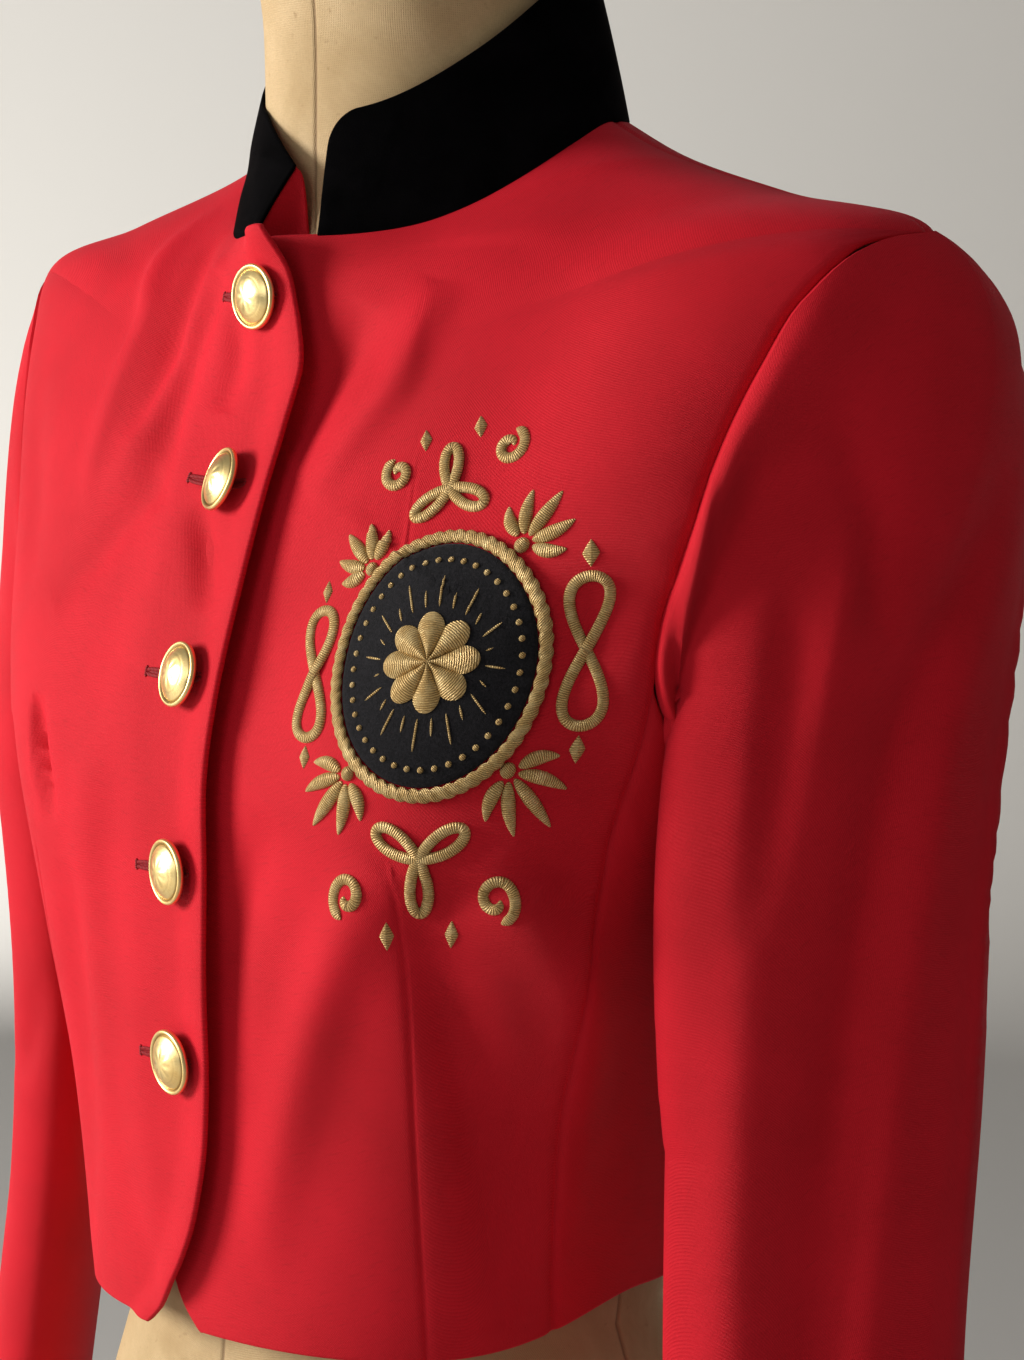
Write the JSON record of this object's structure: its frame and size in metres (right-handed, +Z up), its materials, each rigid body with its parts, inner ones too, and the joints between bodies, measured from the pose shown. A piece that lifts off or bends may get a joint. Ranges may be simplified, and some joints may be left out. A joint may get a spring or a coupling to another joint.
{
  "type": "military blazer on dress form",
  "caption": "Cropped red military jacket with a black velvet stand collar, gold buttons and a round chest badge, worn by a limbless dress form on a round base.",
  "frame": {"origin": "centre of the round base's underside, on the floor", "axes": "+Z up through the dress form; the jacket's front faces -Y and the wearer's left side is +X"},
  "size_m": [0.4744, 0.28, 0.874],
  "materials": {
    "red_wool": "red wool crepe, matt with a soft sheen",
    "black_velvet": "black cotton velvet",
    "gold_metal": "pale satin gold plate",
    "black_felt": "black felt",
    "gold_thread": "gold embroidery thread",
    "linen": "unbleached linen over a hard form",
    "dark_iron": "dark painted iron"
  },
  "bodies": {
    "root": {"right_front": "red_wool", "left_front": "red_wool", "right_side": "red_wool", "left_side": "red_wool", "back": "red_wool", "right_sleeve": "red_wool", "left_sleeve": "red_wool", "collar_facing": "red_wool", "collar": "black_velvet", "button_1": "gold_metal", "button_2": "gold_metal", "button_3": "gold_metal", "button_4": "gold_metal", "button_5": "gold_metal", "badge_patch": "black_felt", "badge_rim": "gold_thread", "badge_rosette": "gold_thread", "form_torso": "linen", "form_stand": "dark_iron"}
  },
  "joints": []
}
